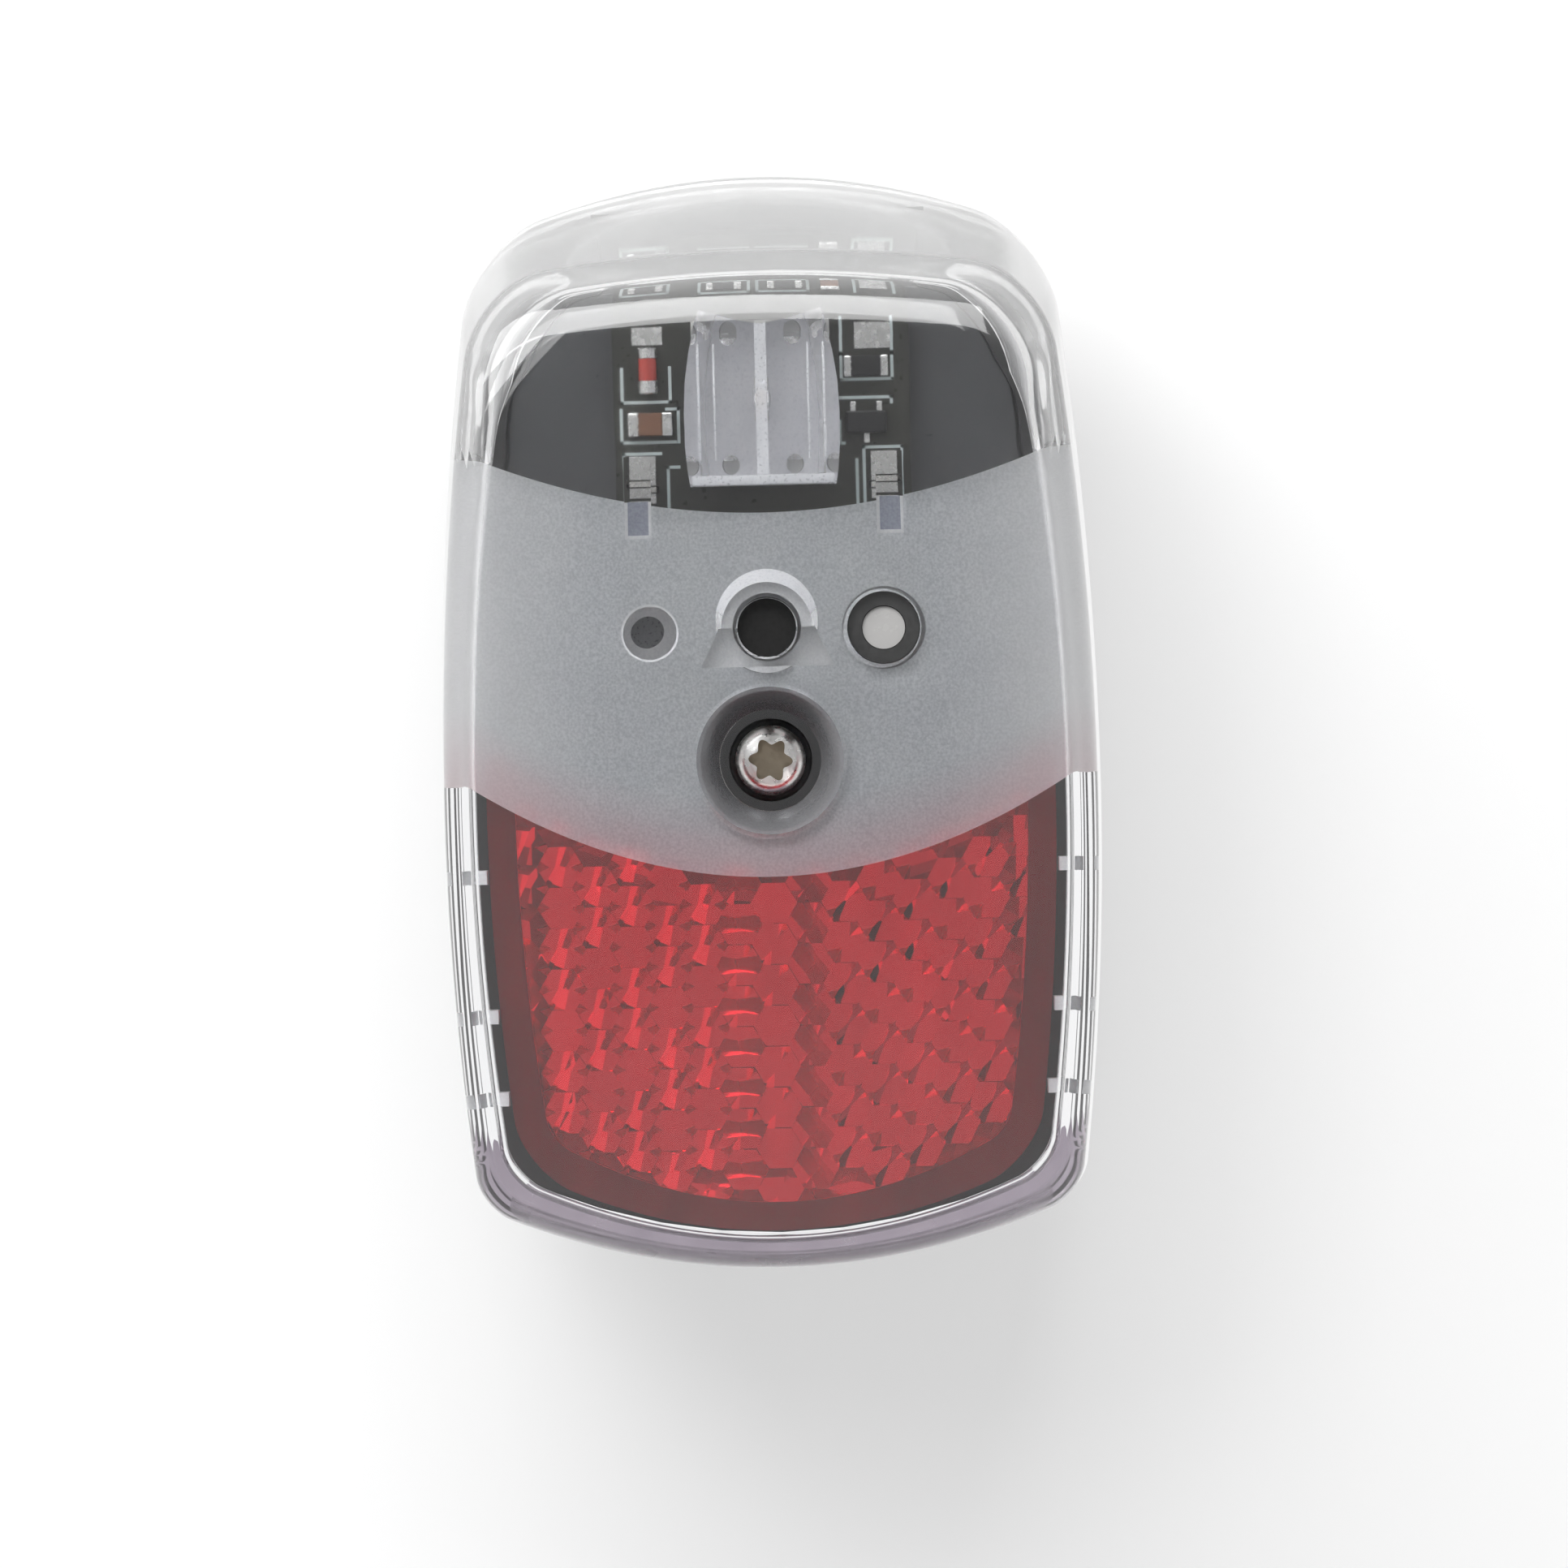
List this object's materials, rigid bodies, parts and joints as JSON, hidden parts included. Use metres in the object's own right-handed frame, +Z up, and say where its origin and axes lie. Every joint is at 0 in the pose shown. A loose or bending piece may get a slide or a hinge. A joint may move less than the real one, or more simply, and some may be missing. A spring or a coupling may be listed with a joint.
{
  "type": "bicycle rear light",
  "caption": "Rear light for a bicycle mudguard: clear barrel-shaped cover with a frosted band, red reflector, push button and twilight sensor, on a black saddle base.",
  "frame": {"origin": "where the axis of the mounting bolt meets the saddle on the crown of the mudguard", "axes": "+Z up, the lens looks along -Y, +Y points into the mudguard, X across the lamp"},
  "size_m": [0.0478, 0.0444, 0.079],
  "materials": {
    "clear_cover": "clear, frosted in a band on the inside",
    "clear_optic": "clear, polished",
    "guide": "milky, polished end",
    "red_reflector": "red, clear, moulded with corner cubes",
    "black_plastic": "fine moulded grain",
    "carrier_plastic": "smooth, satin",
    "button_plastic": "smooth",
    "seal_rubber": "matt",
    "board": "solder mask with pale printed outlines",
    "solder": "tinned",
    "contact_metal": "nickel plated",
    "screw_metal": "zinc plated",
    "lamp": "amber coating under a clear dome",
    "chip_black": "moulded",
    "chip_brown": "ceramic body",
    "diode_glass": "red glass body",
    "switch_grey": "moulded",
    "plunger_plastic": "moulded",
    "cell": "printed sleeve, no lettering"
  },
  "bodies": {
    "base": {"base_housing": "black_plastic", "cover_seal": "seal_rubber", "board_carrier": "carrier_plastic", "circuit_board": "board", "solder_pads": "solder", "led": "lamp", "led_optic": "clear_optic", "resistors": "chip_black", "capacitors": "chip_brown", "diode": "diode_glass", "driver_chip": "chip_black", "light_sensor": "chip_black", "tact_switch": "switch_grey", "battery_left": "cell", "battery_right": "cell", "contact_left": "contact_metal", "contact_right": "contact_metal", "battery_bridge": "contact_metal", "captive_nut": "screw_metal"},
    "cover": {"lens_cover": "clear_cover", "reflector_plate": "red_reflector", "light_guide": "guide", "guide_sleeve": "button_plastic"},
    "button": {"push_button": "button_plastic", "button_ring": "seal_rubber"},
    "plunger": {"switch_plunger": "plunger_plastic"},
    "screw_washer": {"screw_ring": "seal_rubber"},
    "screw": {"cover_screw": "screw_metal"}
  },
  "joints": [
    {"name": "cover_lift", "type": "slide", "parent": "base", "child": "cover", "axis": [0, -1, 0], "range_m": [0, 0.04]},
    {"name": "button_press", "type": "slide", "parent": "cover", "child": "button", "axis": [0, 1, 0], "range_m": [0, 0.0005], "stiffness_N_per_m": 4000, "springref_m": -0.0001},
    {"name": "plunger_press", "type": "slide", "parent": "base", "child": "plunger", "axis": [0, 1, 0], "range_m": [0, 0.0005]},
    {"name": "screw_travel", "type": "slide", "parent": "cover", "child": "screw_washer", "axis": [0, -1, 0], "range_m": [0, 0.0131]},
    {"name": "screw_turn", "type": "hinge", "parent": "screw_washer", "child": "screw", "pos_m": [0, -0.0205, -0.0134], "axis": [0, -1, 0], "range_deg": [0, 4290]}
  ],
  "couplings": [
    {"joint": "plunger_press", "follows": "button_press", "ratio": 1},
    {"joint": "screw_turn", "follows": "screw_travel", "rad_per_m": 5712}
  ]
}
